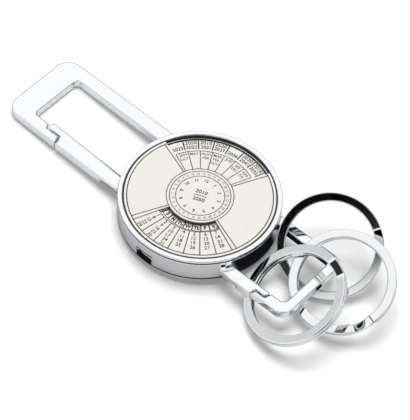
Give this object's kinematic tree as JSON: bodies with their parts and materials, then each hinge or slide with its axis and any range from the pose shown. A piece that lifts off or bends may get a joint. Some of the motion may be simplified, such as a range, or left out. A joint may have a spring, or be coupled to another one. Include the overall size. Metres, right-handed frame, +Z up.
{
  "type": "perpetual calendar keyring",
  "caption": "Chromed round perpetual calendar dial between a sprung carabiner and a sprung loop that carries flat split rings.",
  "frame": {"origin": "centre of the back cover's underside, on the case's own axis", "axes": "+X from the carabiner to the split rings, +Y away from the side with the two gates, +Z up from the table; the case itself leans 3.6 degrees about Y, with the ring end up"},
  "size_m": [0.1083, 0.0433, 0.0162],
  "materials": {
    "chrome": "bright chrome plate",
    "steel": "plain drawn wire and turned steel",
    "print": "satin cream print with black lines",
    "dial": "black moulding with a printed cream face"
  },
  "bodies": {
    "case": {"body_casting": "chrome", "back_cover": "chrome", "dial_bezel": "chrome", "window_plate": "print", "dial_axle_pin": "steel", "dial_spring_washer": "steel", "carabiner_gate_pin": "steel", "loop_gate_pin": "steel"},
    "year_dial": {"year_dial": "dial"},
    "carabiner_gate": {"carabiner_gate": "chrome", "carabiner_gate_spring": "steel"},
    "carabiner_plunger": {"carabiner_gate_plunger": "steel"},
    "loop_gate": {"loop_gate": "chrome", "loop_gate_spring": "steel"},
    "loop_plunger": {"loop_gate_plunger": "steel"},
    "split_ring_front": {"split_ring_front": "chrome"},
    "split_ring_middle": {"split_ring_middle": "chrome"},
    "split_ring_back": {"split_ring_back": "chrome"}
  },
  "joints": [
    {"name": "year_dial_spin", "type": "hinge", "parent": "case", "child": "year_dial", "pos_m": [-0.00023, 0, 0.00359], "axis": [-0.0628, 0, 0.998], "continuous": true},
    {"name": "carabiner_gate_swing", "type": "hinge", "parent": "case", "child": "carabiner_gate", "pos_m": [-0.0214, -0.0091, 0.00096], "axis": [0.0628, 0, -0.998], "range_deg": [0, 25], "stiffness_Nm_per_rad": 0.01, "springref_deg": -28.65},
    {"name": "carabiner_plunger_slide", "type": "slide", "parent": "carabiner_gate", "child": "carabiner_plunger", "axis": [-0.998, 0, -0.0628], "range_m": [0, 0.0006], "stiffness_N_per_m": 2, "springref_m": -0.001, "deforming": ["carabiner_gate_spring"]},
    {"name": "loop_gate_swing", "type": "hinge", "parent": "case", "child": "loop_gate", "pos_m": [0.02101, -0.01015, 0.00363], "axis": [-0.0628, 0, 0.998], "range_deg": [0, 25], "stiffness_Nm_per_rad": 0.002, "springref_deg": -28.65},
    {"name": "loop_plunger_slide", "type": "slide", "parent": "loop_gate", "child": "loop_plunger", "axis": [0.998, 0, 0.0628], "range_m": [0, 0.0005], "stiffness_N_per_m": 2, "springref_m": -0.001, "deforming": ["loop_gate_spring"]},
    {"name": "split_ring_front_spin", "type": "hinge", "parent": "case", "child": "split_ring_front", "pos_m": [0.03441, -0.00501, 0.00711], "axis": [-0.3063, -0.3871, 0.8697], "continuous": true},
    {"name": "split_ring_middle_spin", "type": "hinge", "parent": "case", "child": "split_ring_middle", "pos_m": [0.03989, 0.00602, 0.00697], "axis": [-0.003, -0.3859, 0.9225], "continuous": true},
    {"name": "split_ring_back_spin", "type": "hinge", "parent": "case", "child": "split_ring_back", "pos_m": [0.03123, 0.01168, 0.00694], "axis": [0.2546, -0.5039, 0.8254], "continuous": true}
  ]
}
